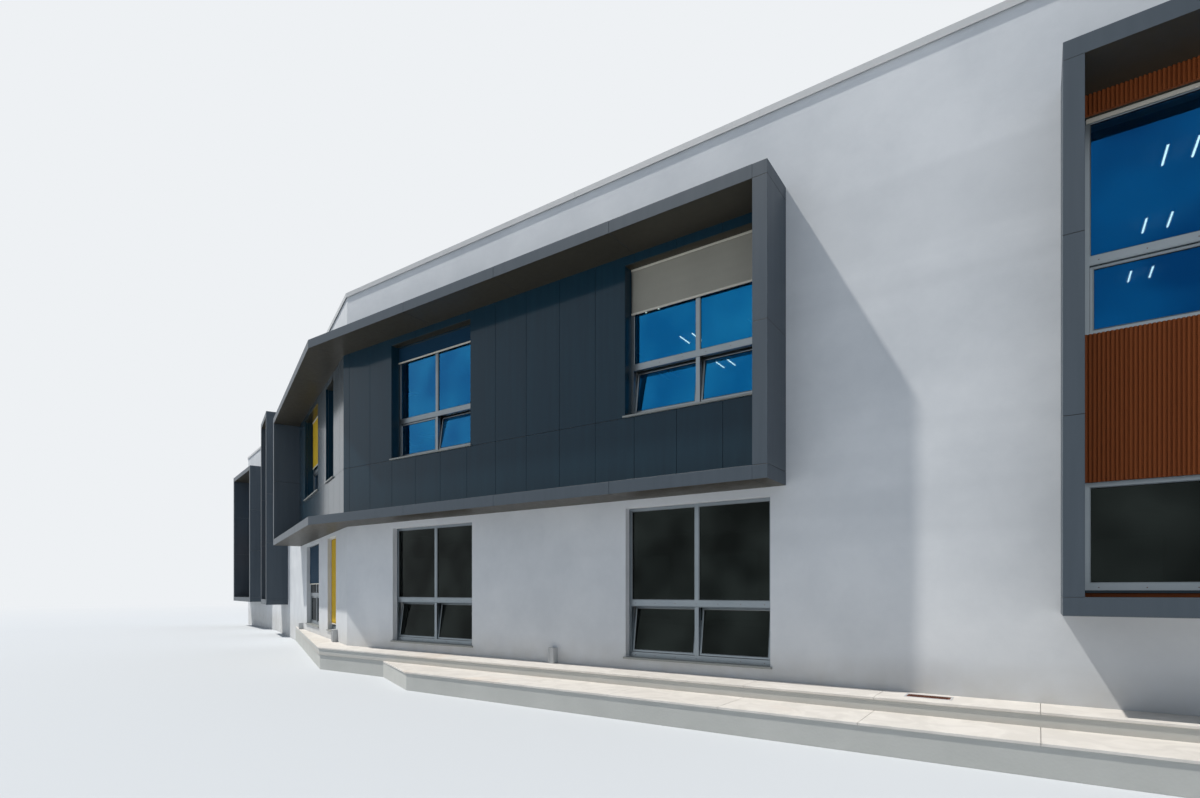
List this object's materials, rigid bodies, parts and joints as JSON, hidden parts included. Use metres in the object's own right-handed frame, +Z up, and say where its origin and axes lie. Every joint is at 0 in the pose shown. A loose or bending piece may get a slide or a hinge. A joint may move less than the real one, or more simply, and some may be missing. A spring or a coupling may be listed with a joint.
{
  "type": "school building",
  "caption": "Two-storey school wing, its white front folded in plan, with a dark metal box frame round the upper windows and tall metal frames.",
  "frame": {"origin": "on the ground, under the middle of the whole building", "axes": "+X to the right along the long front, -Y out of that front, +Z up"},
  "size_m": [39.1878, 20.6842, 8.38],
  "materials": {
    "white_render": "matte",
    "concrete": "matte",
    "roof_membrane": "matte",
    "ledge_stone": "matte",
    "frame_metal": "satin",
    "panel_metal": "satin",
    "coping_metal": "satin",
    "ribbed_boards": "matte",
    "window_aluminium": "satin",
    "window_glass": "gloss",
    "sill_metal": "satin",
    "blue_fabric": "matte",
    "beige_fabric": "matte",
    "yellow_fabric": "matte",
    "lamp_metal": "satin",
    "grating_iron": "matte",
    "light_diffuser": "satin"
  },
  "bodies": {
    "root": {"back_wall_folded": "white_render", "back_wall_left": "white_render", "back_wall_long": "white_render", "back_window_frames": "window_aluminium", "back_window_panes": "window_glass", "back_window_sills": "sill_metal", "beige_screen": "beige_fabric", "blue_screens": "blue_fabric", "box_frame_bottom": "frame_metal", "box_frame_fins": "frame_metal", "box_frame_top": "frame_metal", "ceiling_lights": "light_diffuser", "dark_panels_folded": "panel_metal", "dark_panels_long": "panel_metal", "end_walls": "white_render", "first_floor": "concrete", "front_wall_folded": "white_render", "front_wall_left": "white_render", "front_wall_long": "white_render", "ground_floor": "concrete", "ground_window_frames": "window_aluminium", "ground_window_panes": "window_glass", "ground_window_sashes": "window_aluminium", "ground_window_sills": "sill_metal", "lamp_boxes": "lamp_metal", "ledge_base": "concrete", "ledge_grating": "grating_iron", "left_tall_frame": "frame_metal", "lower_ledge": "ledge_stone", "narrow_tall_frame": "frame_metal", "parapet_coping": "coping_metal", "reveal_linings": "panel_metal", "ribbed_cladding": "ribbed_boards", "right_tall_frame": "frame_metal", "roof_slab": "roof_membrane", "tall_frame_window_frames": "window_aluminium", "tall_frame_window_panes": "window_glass", "tall_frame_window_sashes": "window_aluminium", "tall_frame_window_sills": "panel_metal", "upper_ledge": "ledge_stone", "upper_window_frames": "window_aluminium", "upper_window_panes": "window_glass", "upper_window_sashes": "window_aluminium", "upper_window_sills": "sill_metal", "yellow_screens": "yellow_fabric"}
  },
  "joints": []
}
